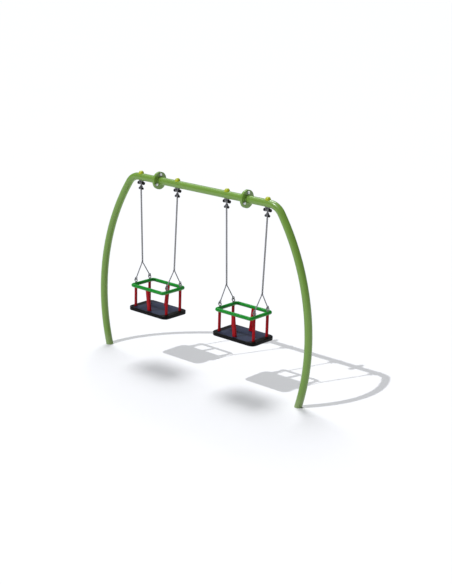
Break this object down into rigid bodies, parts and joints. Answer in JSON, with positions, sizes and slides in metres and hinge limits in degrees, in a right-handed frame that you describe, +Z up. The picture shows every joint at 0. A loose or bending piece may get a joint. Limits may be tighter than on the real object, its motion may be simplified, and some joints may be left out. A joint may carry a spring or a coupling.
{
  "type": "swing set",
  "caption": "Free-swinging playground swing: a bent tube arch set in the ground, bolted beam, chains on hinged hangers, and cradle seats with guard rails.",
  "frame": {"origin": "on the ground, under the middle of the beam", "axes": "+X along the beam to the right, +Y to the back across the swing direction, +Z up"},
  "size_m": [2.862, 0.35, 2.02],
  "materials": {
    "frame_paint": "satin grass-green powder coat",
    "zinc": "bright zinc plate",
    "cap_plastic": "semi-gloss moulded plastic",
    "hanger_steel": "satin stainless steel",
    "black_plastic": "semi-gloss moulded plastic",
    "bush_plastic": "self-lubricating plastic",
    "chain_zinc": "hot-dip galvanised, dull",
    "rail_paint": "glossy mid-green coating",
    "post_rubber": "semi-gloss flexible plastic sleeve",
    "seat_rubber": "matt moulded rubber",
    "core_metal": "plain sheet"
  },
  "bodies": {
    "arch": {"left_leg": "frame_paint", "right_leg": "frame_paint", "crossbeam": "frame_paint", "flange_bolts": "zinc", "flange_washers": "zinc", "flange_nuts": "zinc", "hanger_bolts": "zinc", "hanger_washers": "zinc", "hanger_caps": "cap_plastic", "left_outer_bracket": "hanger_steel", "left_inner_bracket": "hanger_steel", "right_inner_bracket": "hanger_steel", "right_outer_bracket": "hanger_steel", "axle_bolts": "zinc", "axle_nuts": "zinc", "axle_caps": "black_plastic"},
    "left_hangers": {"left_outer_knuckle": "hanger_steel", "left_inner_knuckle": "hanger_steel", "left_bushes": "bush_plastic", "left_pins": "zinc", "left_pin_nuts": "zinc", "left_pin_caps": "black_plastic"},
    "left_chains": {"left_outer_chain": "chain_zinc", "left_inner_chain": "chain_zinc", "left_top_eyes": "hanger_steel", "left_bottom_eyes": "chain_zinc"},
    "left_seat": {"left_outer_rods": "chain_zinc", "left_inner_rods": "chain_zinc", "left_apex_pins": "zinc", "left_eye_bolts": "zinc", "left_rail": "rail_paint", "left_corner_posts": "post_rubber", "left_middle_posts": "post_rubber", "left_tie_rods": "zinc", "left_seat_plate": "seat_rubber", "left_seat_core": "core_metal", "left_seat_washers": "zinc", "left_seat_nuts": "zinc"},
    "right_hangers": {"right_outer_knuckle": "hanger_steel", "right_inner_knuckle": "hanger_steel", "right_bushes": "bush_plastic", "right_pins": "zinc", "right_pin_nuts": "zinc", "right_pin_caps": "black_plastic"},
    "right_chains": {"right_outer_chain": "chain_zinc", "right_inner_chain": "chain_zinc", "right_top_eyes": "hanger_steel", "right_bottom_eyes": "chain_zinc"},
    "right_seat": {"right_outer_rods": "chain_zinc", "right_inner_rods": "chain_zinc", "right_apex_pins": "zinc", "right_eye_bolts": "zinc", "right_rail": "rail_paint", "right_corner_posts": "post_rubber", "right_middle_posts": "post_rubber", "right_tie_rods": "zinc", "right_seat_plate": "seat_rubber", "right_seat_core": "core_metal", "right_seat_washers": "zinc", "right_seat_nuts": "zinc"}
  },
  "joints": [
    {"name": "left_swing", "type": "hinge", "parent": "arch", "child": "left_hangers", "pos_m": [-0.584, 0, 1.864], "axis": [1, 0, 0], "range_deg": [-60, 60]},
    {"name": "left_chain_lean", "type": "hinge", "parent": "left_hangers", "child": "left_chains", "pos_m": [-0.584, 0, 1.808], "axis": [1, 0, 0], "range_deg": [-20, 20]},
    {"name": "left_seat_tilt", "type": "hinge", "parent": "left_chains", "child": "left_seat", "pos_m": [-0.584, 0, 1.022], "axis": [1, 0, 0], "range_deg": [-35, 35]},
    {"name": "right_swing", "type": "hinge", "parent": "arch", "child": "right_hangers", "pos_m": [0.584, 0, 1.864], "axis": [1, 0, 0], "range_deg": [-60, 60]},
    {"name": "right_chain_lean", "type": "hinge", "parent": "right_hangers", "child": "right_chains", "pos_m": [0.584, 0, 1.808], "axis": [1, 0, 0], "range_deg": [-20, 20]},
    {"name": "right_seat_tilt", "type": "hinge", "parent": "right_chains", "child": "right_seat", "pos_m": [0.584, 0, 1.022], "axis": [1, 0, 0], "range_deg": [-35, 35]}
  ]
}
